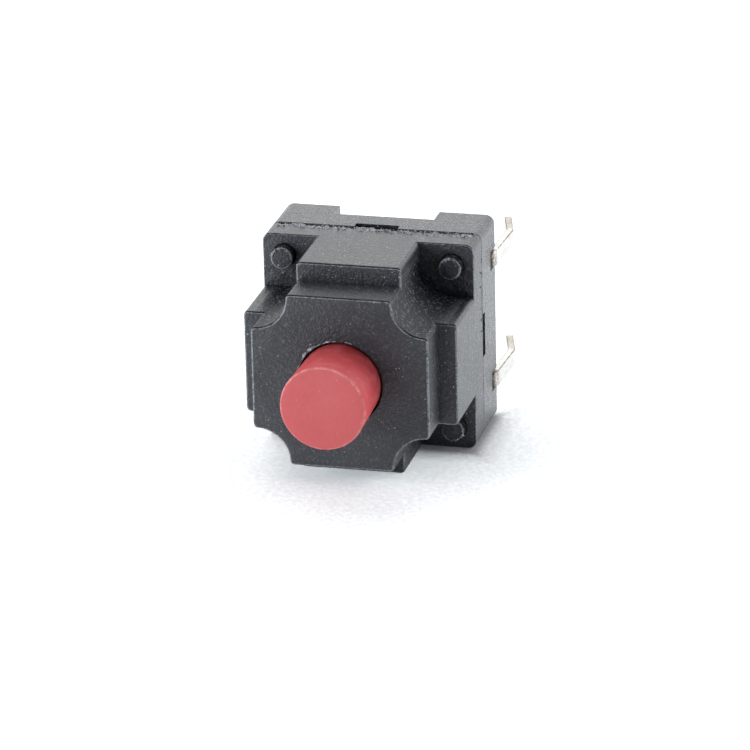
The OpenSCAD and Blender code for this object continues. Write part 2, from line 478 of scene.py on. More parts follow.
def red_plastic(look):
    """Waxy red plastic with a painted highlight on the tip's face and rim, and a blotched stem that carries
    painted shade towards the hole
    """
    s = Surface("red_plastic")
    cloud = s.noise(0.8, 4.0, 0.6)
    grain = s.noise(8.0, 3.0, 0.55)
    fine = s.noise(21.0, 2.0)
    blotch = s.noise(2.6, 4.0, 0.7)
    # Painted highlight: a pale, broken line on the rounded rim of the tip
    rim = s.attribute(EDGE) * (cloud * 0.5 + grain * 0.5).above(0.38, 0.58)
    front = s.normal()[1].above(-0.6, -0.95)
    motes = s.specks(1.7, 0.2, 0.08) * 0.8 + s.specks(3.6, 0.3, 0.12) * (0.75 - 0.4 * front)
    # Random haze, and a painted highlight that makes the face of the tip paler
    haze_and_tip_highlight = (cloud * 0.6 + grain * 0.4).above(0.42, 0.66) * (0.07 + 0.01 * front) + front * 0.16
    pale = (motes + haze_and_tip_highlight + rim * 0.6 + (1.0 - front) * blotch.above(0.5, 0.66) * 0.13).clamped()
    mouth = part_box("cover")[0].y / MM
    # Painted shade: away from its face, the plunger darkens in blotches towards the hole
    painted_hole_shade = (1.0 - front) * (s.place()[1] - mouth).above(-1.4, 0.0)
    dull = painted_hole_shade * (0.32 + 0.34 * blotch.above(0.52, 0.38))
    plain = s.mix(dull, look.color, tuple(0.5 * c for c in look.color))
    return s.finish(
        height=grain * 0.5 + fine * 0.5,
        depth=0.02 * MM,
        strength=0.6,
        base_color=s.mix(pale, plain, look.bloom_and_highlight),
        roughness=0.44 + 0.2 * grain,
        subsurface_weight=0.1,
        subsurface_radius=(0.4 * MM, 0.1 * MM, 0.08 * MM),
        subsurface_scale=1.0,
    )


def silicone():
    """Milky silicone rubber"""
    s = Surface("silicone")
    cloud = s.noise(1.2, 3.0)
    grain = s.noise(11.0, 3.0)
    return s.finish(
        height=grain,
        depth=0.01 * MM,
        base_color=s.mix(cloud.above(0.35, 0.7), (0.55, 0.53, 0.48), (0.66, 0.64, 0.58)),
        roughness=0.42 + 0.2 * grain,
        subsurface_weight=0.2,
        subsurface_radius=(0.4 * MM, 0.4 * MM, 0.35 * MM),
        subsurface_scale=1.0,
    )


def carbon_rubber():
    """Dull black rubber"""
    s = Surface("carbon_rubber")
    grain = s.noise(14.0, 4.0, 0.7)
    color = s.mix(grain.above(0.45, 0.7), (0.012, 0.012, 0.012), (0.045, 0.045, 0.047))
    return s.finish(height=grain, depth=0.02 * MM, base_color=color, roughness=0.62 + 0.2 * grain)


def tinned_metal(look):
    """Tin over brass: bare along the cut edges and stained brown where the strip leaves the shell, with
    painted shade, near black, where it lies in the pocket
    """
    s = Surface("tinned_metal")
    cloud = s.noise(1.6, 4.0, 0.65)
    grain = s.noise(9.0, 3.0)
    patches = cloud * 0.6 + grain * 0.4
    spots = (cloud * 0.4 + grain * 0.6).above(0.42, 0.55)
    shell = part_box("base_housing")[1] / MM
    across, along, _ = s.place()
    pocket = (shell.x - abs(across)).above(-0.06, 0.02)
    root = (shell.y - along).above(0.1, 0.3)
    tail = (along - shell.y).above(1.9, 2.2)
    cut = abs(s.normal()[2]).above(0.75, 0.95)
    stain = patches.above(0.46, 0.64) * 0.45 + cut * tail * 0.7
    bare = s.attribute(EDGE) * patches.above(0.38, 0.48)
    tin = s.mix(bare, s.mix(stain.clamped(), look.tin, (0.40, 0.37, 0.32)), look.bare)
    browned = s.mix(root * (0.2 + 0.5 * spots), tin, (0.2, 0.155, 0.12))
    return s.finish(
        height=grain * 0.5 + cloud * 0.5,
        depth=0.06 * MM,
        # Painted shade: the strip turns near black where it lies in the pocket
        base_color=s.mix(root * pocket * (0.7 + 0.3 * spots), browned, (0.045, 0.028, 0.022)),
        metallic=0.8,
        roughness=0.30 + 0.22 * cloud + 0.1 * grain,
    )


def floor_paper(look):
    """Pale paper, lifted for the camera and for reflections, with a contact shade along the housing"""
    s = Surface("floor_paper")
    fibre = s.noise(0.4, 4.0)
    grit = s.noise(5.0, 3.0, 0.6)
    tooth = s.noise(6.0, 2.0, 0.6).above(0.42, 0.6)
    rays = ("Is Camera Ray", "Is Glossy Ray", "Is Transmission Ray")
    camera, glossy, through = s.add("ShaderNodeLightPath", out=rays)
    across, along, _ = s.place()
    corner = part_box("base_housing")[1] / MM
    wide = abs(across) - corner.x

    def outside(node):
        """Distance from the outline of a piece's box in millimetres"""
        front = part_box(node)[0].y / MM
        return wide.larger(abs(along - (corner.y + front) / 2) - (corner.y - front) / 2)

    shell = outside("base_housing")
    # Painted shadow: near the rear shell, except on its left, the floor's lift for the camera is mostly
    # taken away
    below = shell.above(1.0, -0.05) * across.above(-3.9, -2.4)
    viewed = camera * (look.lift / look.mirror_lift) * (1.0 - 0.9 * below)
    # Painted shade in reflections: the floor in front and to the right, and the floor near the cover, lifts
    # reflections less
    dim = across.above(-3.5, 1.5) * (along * -1.0).above(4.5, 8.0)
    mirrored = (glossy + through) * (1.0 - 0.7 * dim) * (0.1 + 0.9 * outside("cover").above(-0.05, 1.0))
    light, dark = (tuple(min(1.0, c * share) for c in look.floor) for share in (1.08, 0.86))
    # Painted contact shadow: the floor's colour darkens within 0.35 mm of the rear shell, on the right of
    # the housing
    contact = shell.above(0.35, 0.0) * across.above(-1.0, 1.5)
    return s.finish(
        base_color=s.mix(contact * 0.7, s.mix(tooth, dark, light), (0.2, 0.2, 0.215)),
        roughness=0.8 + 0.1 * fibre,
        specular_ior_level=0.2,
        emission_color=s.mix(
            (viewed + mirrored).clamped() * (0.75 + 0.5 * grit), (0.0, 0.0, 0.0), (0.87, 0.95, 1.0)
        ),
        emission_strength=look.mirror_lift,
    )


def attach(made, body, node=None):
    """Ties a piece to the body it moves with and hides the node that it stands for"""
    if body:
        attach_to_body(made, body)
    if node:
        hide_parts(node)
    return made


def linked(name, data):
    """New object in the scene"""
    made = bpy.data.objects.new(name, data)
    bpy.context.scene.collection.objects.link(made)
    return made


def new_piece(mesh, material, body, node=None):
    """Piece with the name of its mesh"""
    mesh.materials.append(material)
    return attach(linked(mesh.name, mesh), body, node)


def bake(obj):
    """Replaces an object's mesh by the one its modifiers make, and removes the modifiers"""
    graph = bpy.context.evaluated_depsgraph_get()
    mesh = bpy.data.meshes.new_from_object(obj.evaluated_get(graph), depsgraph=graph)
    old = obj.data
    name = old.name
    obj.modifiers.clear()
    obj.data = mesh
    bpy.data.meshes.remove(old)
    mesh.name = name


def mesh_of(bm, name):
    mesh = bpy.data.meshes.new(name)
    bm.to_mesh(mesh)
    bm.free()
    return mesh


def bumps(x, w, scale, layer):
    """Smooth random height between about -1 and 1 at a place"""
    return noise.noise((x * scale, w * scale, layer))


def on_circle(centre, radius, angles):
    return [(centre[0] + radius * math.cos(a), centre[1] + radius * math.sin(a)) for a in angles]


def arc(centre, radius, start, turn, step):
    """Points of an arc in degrees, without its last point"""
    count = max(2, round(abs(math.radians(turn)) * radius / step))
    return on_circle(centre, radius, [math.radians(start + turn * i / count) for i in range(count)])


def line(a, b, step):
    """Points of a straight stretch, without its last point"""
    count = max(1, round(math.dist(a, b) / step))
    return [(a[0] + (b[0] - a[0]) * i / count, a[1] + (b[1] - a[1]) * i / count) for i in range(count)]


def turned(points, quarters):
    for _ in range(quarters):
        points = [(-w, x) for x, w in points]
    return points


def square_plan(half, corner, step=0.08):
    """Square with rounded corners, counterclockwise"""
    side = line((half, corner - half), (half, half - corner), step)
    side += arc((half - corner, half - corner), corner, 0, 90, step / 2)
    return [point for k in range(4) for point in turned(side, k)]


def tier_plan(half, step=0.06):
    """Counterclockwise plan of a tier: two crossed wings, scooped out round the posts"""
    scoop = POST - WING
    inner = half - TIER_CORNER
    trim = math.degrees(math.asin(max(0.0, POST - inner) / scoop))
    side = line((half, TIER_CORNER - WING), (half, WING - TIER_CORNER), step)
    side += arc((inner, WING - TIER_CORNER), TIER_CORNER, 0, 90, step / 3)
    if inner > POST:
        side += line((inner, WING), (POST, WING), step)
    side += arc((POST, POST), scoop, -90 - trim, 2 * trim - 90, step)
    if inner > POST:
        side += line((WING, POST), (WING, inner), step)
    side += arc((WING - TIER_CORNER, inner), TIER_CORNER, 0, 90, step / 3)
    return [point for k in range(4) for point in turned(side, k)]


def box_plan(x0, x1, w0, w1):
    return [(x1, w0), (x1, w1), (x0, w1), (x0, w0)]


def circle_plan(x, w, radius, count):
    return on_circle((x, w), radius, [math.tau * i / count for i in range(count)])


def directions(plan):
    """Points of a closed plan, each with the direction in which the plan passes it"""
    for i, (x, w) in enumerate(plan):
        before, after = plan[i - 1], plan[(i + 1) % len(plan)]
        yield x, w, Vector((after[0] - before[0], after[1] - before[1])).normalized()


def bent_path(corners, radius, steps=6):
    """Path through corners that are rounded by arcs"""
    path = [Vector(corners[0])]
    for before, corner, after in zip(corners, corners[1:], corners[2:]):
        corner = Vector(corner)
        u, v = (Vector(before) - corner).normalized(), (Vector(after) - corner).normalized()
        half = u.angle(v) / 2
        middle = corner + (u + v).normalized() * radius / math.sin(half)
        a, b = (corner + side * radius / math.tan(half) - middle for side in (u, v))
        start = math.atan2(a.y, a.x)
        turn = math.remainder(math.atan2(b.y, b.x) - start, math.tau)
        for i in range(steps + 1):
            at = start + turn * i / steps
            path.append(middle + radius * Vector((math.cos(at), math.sin(at))))
    return path + [Vector(corners[-1])]


def rounding(level, radius):
    """Rows of (level, inset, worn) that round the front edge at a level, after one in the straight wall"""
    steps = 4
    rows = [(level - 1.8 * radius, 0, 0)]
    for i in range(steps + 1):
        a = math.pi / 2 * i / steps
        rows.append((level - radius + radius * math.sin(a), radius - radius * math.cos(a), 0 < i < steps))
    return rows


def rear_rounding(level, radius):
    """Rows that round the rear edge at a level"""
    return [(2 * level - at, inset, worn) for at, inset, worn in reversed(rounding(level, radius))]


class Form:
    """Closed solids in millimetres; levels run forward from the board plane, plans are counterclockwise"""

    def __init__(self):
        self.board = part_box("base_housing")[1].y / MM
        self.bm = bmesh.new()
        self.edge = self.bm.loops.layers.float.new(EDGE)

    def point(self, x, w, level):
        return self.bm.verts.new((x, self.board - level, AXIS_HEIGHT + w))

    def face(self, corners, worn=False):
        made = self.bm.faces.new(corners)
        for loop in made.loops:
            loop[self.edge] = float(worn)
        return made

    def ring(self, plan, level, inset, worn):
        """Row of points, moved in by wear and by inset, which is a number or a function of the place"""
        row = []
        for x, w, run in directions(plan):
            deep = inset(x, w) if callable(inset) else inset
            if worn:
                ragged = bumps(x, w, 5.0, level * 0.2) + 0.6 * bumps(x, w, 17.0, 4.0)
                deep += EDGE_WEAR * max(0.0, ragged)
            row.append(self.point(x - run.y * deep, w + run.x * deep, level))
        return row

    def cap(self, row, forward):
        edges = [self.bm.edges.get(pair) for pair in zip(row, row[1:] + row[:1])]
        facing = Vector((0, -1 if forward else 1, 0))
        made = bmesh.ops.triangle_fill(
            self.bm, use_beauty=True, use_dissolve=False, edges=edges, normal=facing
        )
        for face in made["geom"]:
            if isinstance(face, bmesh.types.BMFace) and face.normal.dot(facing) < 0:
                face.normal_flip()

    def prism(self, plan, rows):
        """Adds the solid between rows of (level, inset, worn) with rising levels"""
        rings = [self.ring(plan, *row) for row in rows]
        for k, (one, two) in enumerate(zip(rings, rings[1:])):
            for i in range(len(plan)):
                j = (i + 1) % len(plan)
                self.face((one[i], one[j], two[j], two[i]), rows[k][2] or rows[k + 1][2])
        self.cap(rings[0], False)
        self.cap(rings[-1], True)
        return self

    def block(self, plan, low, high):
        """Adds a straight solid between two levels"""
        return self.prism(plan, [(low, 0, 0), (high, 0, 0)])

    def ribbon(self, path, w, half_width, half_depth, soft):
        """Adds a bent strip with rounded edges; its half sizes follow the way left to the nearer end"""
        steps = 3
        turn = [math.pi / 2 * i / steps for i in range(steps + 1)]
        total = sum((b - a).length for a, b in zip(path, path[1:]))
        way = 0.0
        rows = []
        for i, at in enumerate(path):
            if i:
                way += (at - path[i - 1]).length
            ends = [(path[k + 1] - path[k]).normalized() for k in (max(i, 1) - 1, min(i, len(path) - 2))]
            lean = (ends[0] + ends[1]).normalized()
            across = Vector((-lean.y, lean.x)) / lean.dot(ends[0])
            left = min(way, total - way)
            deep, wide = half_depth(left), half_width(left)
            row = []
            for a, b in ((1, 1), (-1, 1), (-1, -1), (1, -1)):
                for t in turn if a * b > 0 else reversed(turn):
                    spot = at + across * a * (deep - soft + soft * math.cos(t))
                    row.append(self.point(spot.x, w + b * (wide - soft + soft * math.sin(t)), spot.y))
            rows.append(row)
        made = [self.face(rows[0], True), self.face(rows[-1], True)]
        for one, two in zip(rows, rows[1:]):
            for k in range(len(one)):
                j = (k + 1) % len(one)
                made.append(self.face((one[k], one[j], two[j], two[k]), (k + 1) % (steps + 1) != 0))
        bmesh.ops.recalc_face_normals(self.bm, faces=made)
        return self

    def made(self, name):
        """Object with the solids, still in millimetres; its faces are triangles, so all of them are flat"""
        bmesh.ops.triangulate(self.bm, faces=self.bm.faces)
        return linked(name, mesh_of(self.bm, name))


def mend(mesh):
    """Removes faces without area and closes the slits that they leave"""
    bm = bmesh.new()
    bm.from_mesh(mesh)
    bmesh.ops.dissolve_degenerate(bm, dist=SLIVER, edges=bm.edges)
    bmesh.ops.holes_fill(bm, edges=[edge for edge in bm.edges if edge.is_boundary], sides=0)
    bm.to_mesh(mesh)
    bm.free()


def carve(name, material, first, *steps):
    """Piece made from one form by joining and cutting others, given as pairs of operation and form"""
    made = first.made(name)
    tools = []
    for operation, form in steps:
        tools.append(form.made("tool"))
        carving = made.modifiers.new("Carve", "BOOLEAN")
        carving.operation = operation
        carving.object = tools[-1]
        carving.solver = "EXACT"
    bake(made)
    for tool in tools:
        bpy.data.meshes.remove(tool.data)
    mesh = made.data
    mend(mesh)
    mesh.transform(Matrix.Scale(MM, 4))
    mesh.materials.clear()
    mesh.materials.append(material)
    mesh.shade_smooth()
    mesh.set_sharp_from_angle(angle=SHARP_CARVED)
    weigh = made.modifiers.new("Weighted normals", "WEIGHTED_NORMAL")
    weigh.weight = 100
    weigh.keep_sharp = True
    bake(made)
    return made


def base_shell(look, material):
    """Rear shell: slab with board rails, lead pockets, side slits and the dome's seat, and four posts"""
    edge = look.edge_round / MM
    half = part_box("base_housing")[1].x / MM
    slab_rows = rear_rounding(0, edge) + rounding(SEAM, SEAM_SOFT * edge)
    slab = Form().prism(square_plan(half, SHELL_CORNER), slab_rows)
    channel = box_plan(-RAIL, RAIL, -half - OVER, half + OVER)
    cuts = Form().block(channel, -OVER, CHANNEL)
    wide, high, deep = POCKET
    for x in (-half, half):
        for w in (-LEAD, LEAD):
            pocket = box_plan(x - deep, x + deep, w - wide / 2, w + wide / 2)
            cuts.block(pocket, -OVER, high)
    for k in range(4):
        slit = box_plan(SEAT_R - OVER, half + OVER, -SLIT_W / 2, SLIT_W / 2)
        cuts.block(turned(slit, k), SEAM - SLIT_H, SEAM + OVER)
    seat = Form().block(circle_plan(0, 0, SEAT_R, ROUND), SEAT_FLOOR, SEAM + OVER)
    posts = Form()
    for x, w in POSTS:
        post_rows = [(SEAM - SUNK, 0, 0)] + rounding(POST_TOP, edge)
        posts.prism(circle_plan(x, w, POST_R, ROUND_POST), post_rows)
    return carve("base_shell", material, slab, ("DIFFERENCE", cuts), ("DIFFERENCE", seat), ("UNION", posts))


def cover_shell(look, material):
    """Cover: square flange with a torn rear edge, two scooped tiers, plunger hole, chamber and post holes"""
    edge = look.edge_round / MM
    mouth = look.mouth_round / MM
    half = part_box("cover")[1].x / MM

    def torn(share):
        """Inset of the torn rear edge"""
        def inset(x, w):
            ragged = bumps(x, w, 2.0, 7.0) + bumps(x, w, 6.0, 2.0) + 0.9 * bumps(x, w, 15.0, 5.0)
            depth = share * look.seam_tear / MM * seam_tear(x, w, half)
            return TORN_LEAST + depth * max(0.0, 0.6 + ragged)
        return inset

    foot = [(SEAM + ahead, torn(share), 0) for ahead, share in TORN_ROWS] + [(SEAM + TORN_END, 0, 0)]
    flange_plan = square_plan(half, SHELL_CORNER, TORN_STEP)
    flange = Form().prism(flange_plan, foot + rounding(FLANGE, FLANGE_SOFT * edge))
    lower = Form().prism(tier_plan(half + WING_PROUD), [(FLANGE - SUNK, 0, 0)] + rounding(TIER_2, edge))
    upper = Form().prism(tier_plan(half - TIER_STEP), [(TIER_2 - SUNK, 0, 0)] + rounding(FRONT, edge))
    neck = CHAMBER_R - BORE_R
    flare = [(level, neck - inset, 0) for level, inset, _ in rounding(FRONT, mouth)]
    chamber = [(SEAM - OVER, 0, 0), (CHAMBER, 0, 0), (CHAMBER, neck, 0)]
    bore = [*flare, (FRONT + OVER, neck - mouth, 0)]
    holes = Form().prism(circle_plan(0, 0, CHAMBER_R, ROUND), chamber + bore)
    for x, w in POSTS:
        holes.block(circle_plan(x, w, POST_R + POST_GAP, ROUND_POST), SEAM - OVER, FLANGE + OVER)
    return carve("cover_shell", material, flange, ("UNION", lower), ("UNION", upper), ("DIFFERENCE", holes))


def strip_shell(name, side, soft, material):
    """Bent strip with two leads and a contact pad; side is 1 for the upper strip and -1 for the lower one"""
    path = bent_path([(-x, level) for x, level in reversed(STRIP_PATH)] + list(STRIP_PATH), BEND_R)
    steps = 12
    near = [LEAD_TIP_R * (1 - math.cos(math.pi / 2 * i / steps)) for i in range(1, steps + 1)]
    head = [path[0] + (path[1] - path[0]).normalized() * d for d in near]
    tail = [path[-1] + (path[-2] - path[-1]).normalized() * d for d in reversed(near)]

    def shrunk(half, radius):
        """Half size that falls off towards the end as a rounding does"""
        return lambda left: half - radius + math.sqrt(radius ** 2 - max(0.0, radius - left) ** 2)

    way = [path[0], *head, *path[1:-1], *tail, path[-1]]
    half_width, half_depth = shrunk(LEAD_W / 2, LEAD_TIP_R), shrunk(STRIP_T / 2, LEAD_TIP_R / 3)
    strip = Form().ribbon(way, side * LEAD, half_width, half_depth, soft)
    across, low, high, top = PAD
    plan = turned(box_plan(-across, across, low, high), 1 - side)
    pad = Form().block(plan, top - STRIP_T + PAD_SHY, top - PAD_SHY)
    return carve(name, material, strip, ("UNION", pad))


def lathe(name, profile, segments, edge_rows=()):
    """Mesh of a profile of (radius, level) turned about the plunger's axis, on which its two ends lie"""
    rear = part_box("base_housing")[1].y
    bm = bmesh.new()
    layer = bm.loops.layers.float.new(EDGE)
    rings = []
    for radius, level in profile:
        y = rear - level * MM
        if radius == 0:
            rings.append([bm.verts.new((0, y, AXIS_HEIGHT * MM))])
            continue
        ring = []
        for i in range(segments):
            a = math.tau * i / segments
            height = (AXIS_HEIGHT + radius * math.cos(a)) * MM
            ring.append(bm.verts.new((radius * MM * math.sin(a), y, height)))
        rings.append(ring)
    for row, (one, two) in enumerate(zip(rings, rings[1:])):
        for i in range(segments):
            j = (i + 1) % segments
            corners = [one[i % len(one)], one[j % len(one)], two[j % len(two)], two[i % len(two)]]
            face = bm.faces.new(list(dict.fromkeys(corners)))
            face.smooth = True
            for loop in face.loops:
                loop[layer] = 1.0 if row in edge_rows else 0.0
    bmesh.ops.recalc_face_normals(bm, faces=bm.faces)
    mesh = mesh_of(bm, name)
    mesh.set_sharp_from_angle(angle=SHARP_TURNED)
    return mesh


def flash_nodes():
    """Geometry tree that scatters crumbs over a band of faces"""
    tree = bpy.data.node_groups.new("flash_crumbs", "GeometryNodeTree")
    face = tree.interface
    face.new_socket("Geometry", in_out="INPUT", socket_type="NodeSocketGeometry")
    ports = {name: face.new_socket(name, in_out="INPUT", socket_type=kind).identifier for name, kind in (
        ("Density", "NodeSocketFloat"),
        ("Size", "NodeSocketFloat"),
        ("Seed", "NodeSocketInt"),
        ("Material", "NodeSocketMaterial"),
    )}
    face.new_socket("Geometry", in_out="OUTPUT", socket_type="NodeSocketGeometry")
    add = Graph(tree).add
    given = {socket.name: Value(tree, socket) for socket in add("NodeGroupInput").outputs}

    # Clumped points on the band
    clump = add("ShaderNodeTexNoise", {"Scale": 2.2 / MM}, out="Fac")
    ramp = add("ShaderNodeMapRange", {"Value": clump, "From Min": 0.42, "From Max": 0.68}, out=0)
    spread = add("GeometryNodeDistributePointsOnFaces", {
        "Mesh": given["Geometry"],
        "Density": ramp * given["Density"],
        "Seed": given["Seed"],
    }, out="Points")

    # One lumpy crumb
    ball = add("GeometryNodeMeshIcoSphere", {"Subdivisions": 1, "Radius": 1.0}, out="Mesh")
    bumpy = add("ShaderNodeTexNoise", {"Scale": 1.3}, out="Fac")
    place = add("GeometryNodeInputPosition", out=0)
    lumpy = add("ShaderNodeVectorMath", {0: place, "Scale": bumpy}, out=0, operation="SCALE")
    crumb = add("GeometryNodeSetPosition", {"Geometry": ball, "Position": lumpy}, out=0)

    # A size and a turn for each point
    shares = {0: (0.25, 0.18, 0.2), 1: (1.0, 0.7, 0.55), "Seed": given["Seed"]}
    share = add("FunctionNodeRandomValue", shares, out=0, data_type="FLOAT_VECTOR")
    scale = add("ShaderNodeVectorMath", {0: share, "Scale": given["Size"]}, out=0, operation="SCALE")
    turn = add("FunctionNodeRandomValue", {1: (math.tau,) * 3}, out=0, data_type="FLOAT_VECTOR")

    placed = add("GeometryNodeInstanceOnPoints", {
        "Points": spread,
        "Instance": crumb,
        "Rotation": turn,
        "Scale": scale,
    }, out=0)
    real = add("GeometryNodeRealizeInstances", {0: placed}, out=0)
    painted = add("GeometryNodeSetMaterial", {"Geometry": real, "Material": given["Material"]}, out=0)
    add("NodeGroupOutput", {0: painted})
    return tree, ports


def band_mesh(name, strips):
    """Mesh of flat quads, each given by its four corners in metres"""
    bm = bmesh.new()
    for corners in strips:
        bm.faces.new([bm.verts.new(c) for c in corners])
    return mesh_of(bm, name)


def tube_mesh(name, sections):
    """Mesh through rows of points in millimetres, with the last row joined to the first"""
    bm = bmesh.new()
    rows = [[bm.verts.new(Vector(point) * MM) for point in section] for section in sections]
    for one, two in zip(rows, rows[1:] + rows[:1]):
        for j in range(len(one)):
            k = (j + 1) % len(one)
            bm.faces.new((one[j], one[k], two[k], two[j]))
    bmesh.ops.recalc_face_normals(bm, faces=bm.faces)
    return mesh_of(bm, name)


def hole_tear(turn):
    """Height and width share of the lip round the plunger hole, which stands up at the upper left alone"""
    corner = max(0.0, math.cos(turn - LIP_TURN)) ** 2
    ragged = max(0.1, 0.6 + 1.5 * bumps(math.cos(turn), math.sin(turn), 9.0, 0.3))
    return LIP_TALL * corner * ragged - 0.008, 0.25 + 0.8 * corner * ragged


def post_tear(outward):
    """Lip on the top of a post, strongest on the side that looks outward"""
    def tear(turn):
        side = max(0.0, 0.35 + 0.65 * math.cos(turn - outward))
        ragged = max(0.0, 0.4 + 1.6 * bumps(math.cos(turn), math.sin(turn), 6.0, 5.0 + outward))
        return RIM_TALL * side * ragged - 0.004, 0.2 + 1.5 * side * ragged
    return tear


def torn_ring(name, centre, level, radius, width, tear):
    """Ragged ring on a face that looks towards -Y"""
    steps = 240
    sections = []
    for i in range(steps):
        turn = math.tau * i / steps
        height, share = tear(turn)
        fine = bumps(math.cos(turn), math.sin(turn), 31.0, centre[0])
        reach = width * max(0.2, share + 0.25 * fine)
        height *= 1.0 + 0.5 * fine
        profile = ((0.0, 0.03), (0.004, -height), (0.45 * reach, -0.75 * height), (reach, 0.01))
        spots = [on_circle(centre, radius + out, [turn])[0] for out, _ in profile]
        sections.append([(x, level + y, z) for (x, z), (_, y) in zip(spots, profile)])
    return tube_mesh(name, sections)


def seam_tear(x, w, half):
    """Share of flash at a place on the seam: most on the top side and its left corner, none underneath"""
    if w < 0.2 - half:
        return 0.0
    if w > half - 0.35 and abs(x) < half - 0.25:
        return 1.15 - 0.07 * (x + half)
    return (0.12 if x > 0 else 0.25) * (0.3 + 0.7 * max(0.0, w / half))


def torn_ridge(name, half, rear):
    """Ragged ridge of flash that lies on the cover beside the seam"""
    sections = []
    for x, w, run in directions(square_plan(half, SHELL_CORNER, TORN_STEP)):
        share = seam_tear(x, w, half)
        wide = bumps(x, w, 1.1, 3.0)
        tall = bumps(x, w, 3.1, 9.0)
        fine = bumps(x, w, 13.0, 1.0)
        reach = (0.10 + 0.40 * max(0.0, wide + 0.25) + 0.12 * fine) * (0.4 + 0.6 * share)
        height = share * RIDGE_TALL * max(0.0, 0.1 + tall + 1.2 * fine) - 0.012
        lean = 0.05 * (fine - tall) * share
        gap = 0.2 + 0.06 * fine
        profile = (
            (gap + reach, -0.02),
            (gap + 0.6 * reach, 0.45 * height),
            (gap + 0.3 * reach, height),
            (gap + lean, 0.7 * height),
            (gap + 0.02, -0.06),
        )
        sections.append([
            (x + run.y * out, rear - SEAM - ahead, AXIS_HEIGHT + w - run.x * out) for ahead, out in profile
        ])
    return tube_mesh(name, sections)


def crumb_bands():
    """Bands beside the seam that carry crumbs: one on the top, and one on the upper half of each side"""
    low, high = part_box("base_housing")
    seam = high.y - SEAM * MM
    ahead, behind = (width * MM for width in CRUMB_BAND)
    inset = CRUMB_INSET * MM
    level = high.z - CRUMB_SUNK * MM
    axis, upper = AXIS_HEIGHT * MM, high.z - inset
    top = [
        (low.x + inset, seam - ahead, level),
        (high.x - inset, seam - ahead, level),
        (high.x - inset, seam - behind, level),
        (low.x + inset, seam - behind, level),
    ]
    sides = [[
        (x, seam - ahead / 2, axis),
        (x, seam - ahead / 2, upper),
        (x, seam - behind, upper),
        (x, seam - behind, axis),
    ] for x in (low.x, high.x)]
    return [top], sides


def torn_edges():
    """Meshes of the ridge along the seam, the lip of the plunger hole and the rims of the posts"""
    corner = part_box("base_housing")[1]
    board = corner.y / MM
    torn = [
        torn_ridge("seam_ridge", corner.x / MM, board),
        torn_ring("hole_lip", (0.0, AXIS_HEIGHT), board - FRONT, BORE_R + LIP_GAP, LIP_W, hole_tear),
    ]
    for i, (x, z) in enumerate(POSTS):
        centre, tear = (x, AXIS_HEIGHT + z), post_tear(math.atan2(z, x))
        torn.append(torn_ring(f"post_rim_{i}", centre, board - POST_TOP, POST_R - RIM_INSET, RIM_W, tear))
    return torn


class PUSHBUTTON_OT_housing(Operator):
    """Rear shell and cover with rounded edges and speckled black plastic"""

    bl_idname = "pushbutton.housing"
    bl_label = "Housing"

    def execute(self, context):
        look = context.scene.pushbutton_housing
        finish = black_plastic(look)
        attach(base_shell(look, finish), "housing", "base_housing")
        attach(cover_shell(look, finish), "housing", "cover")
        return {"FINISHED"}


class PUSHBUTTON_OT_flash(Operator):
    """Crumbs and a ridge of flash along the seam, and torn lips round the plunger hole and on the posts"""

    bl_idname = "pushbutton.flash"
    bl_label = "Flash"

    def execute(self, context):
        look = context.scene.pushbutton_flash
        finish = flash_plastic(context.scene.pushbutton_housing)
        tree, ports = flash_nodes()
        top, sides = crumb_bands()
        for name, strips, share, seed in (
            ("seam_crumbs_top", top, 1.0, look.seed),
            ("seam_crumbs_sides", sides, CRUMB_SIDES, look.seed + 1),
        ):
            made = attach(linked(name, band_mesh(name, strips)), "housing")
            scatter = made.modifiers.new("Crumbs", "NODES")
            scatter.node_group = tree
            scatter[ports["Density"]] = look.per_mm2 * share / (MM * MM)
            scatter[ports["Size"]] = look.size
            scatter[ports["Seed"]] = seed
            scatter[ports["Material"]] = finish
            bake(made)
            made.data.shade_smooth()
        for mesh in torn_edges():
            new_piece(mesh, finish, "housing")
        return {"FINISHED"}


class PUSHBUTTON_OT_plunger(Operator):
    """Red plunger turned from its profile, which flares a little to a rounded rim"""

    bl_idname = "pushbutton.plunger"
    bl_label = "Plunger"

    def execute(self, context):
        look = context.scene.pushbutton_plunger
        rim = look.rim_round / MM
        profile = [
            (0.0, NOSE),
            (NOSE_R - COLLAR_EDGE, NOSE),
            (NOSE_R, NOSE + COLLAR_EDGE),
            (NOSE_R, COLLAR[0]),
            (COLLAR_R - COLLAR_EDGE, COLLAR[0]),
            (COLLAR_R, COLLAR[0] + COLLAR_EDGE),
            (COLLAR_R, COLLAR[1] - COLLAR_EDGE),
            (COLLAR_R - COLLAR_EDGE, COLLAR[1]),
            (STEM_R, COLLAR[1]),
            (STEM_R, FRONT),
        ]
        first = len(profile)
        turn = [math.radians(90.0 * i / RIM_STEPS) for i in range(RIM_STEPS + 1)]
        profile += on_circle((STEM_TIP_R - rim, TIP - rim), rim, turn)
        last = len(profile) - 1
        profile += [(STEM_R * 0.6, TIP), (STEM_R * 0.2, TIP), (0.0, TIP)]
        mesh = lathe("plunger_body", profile, look.segments, range(first, last))
        new_piece(mesh, red_plastic(look), "plunger", "plunger")
        return {"FINISHED"}


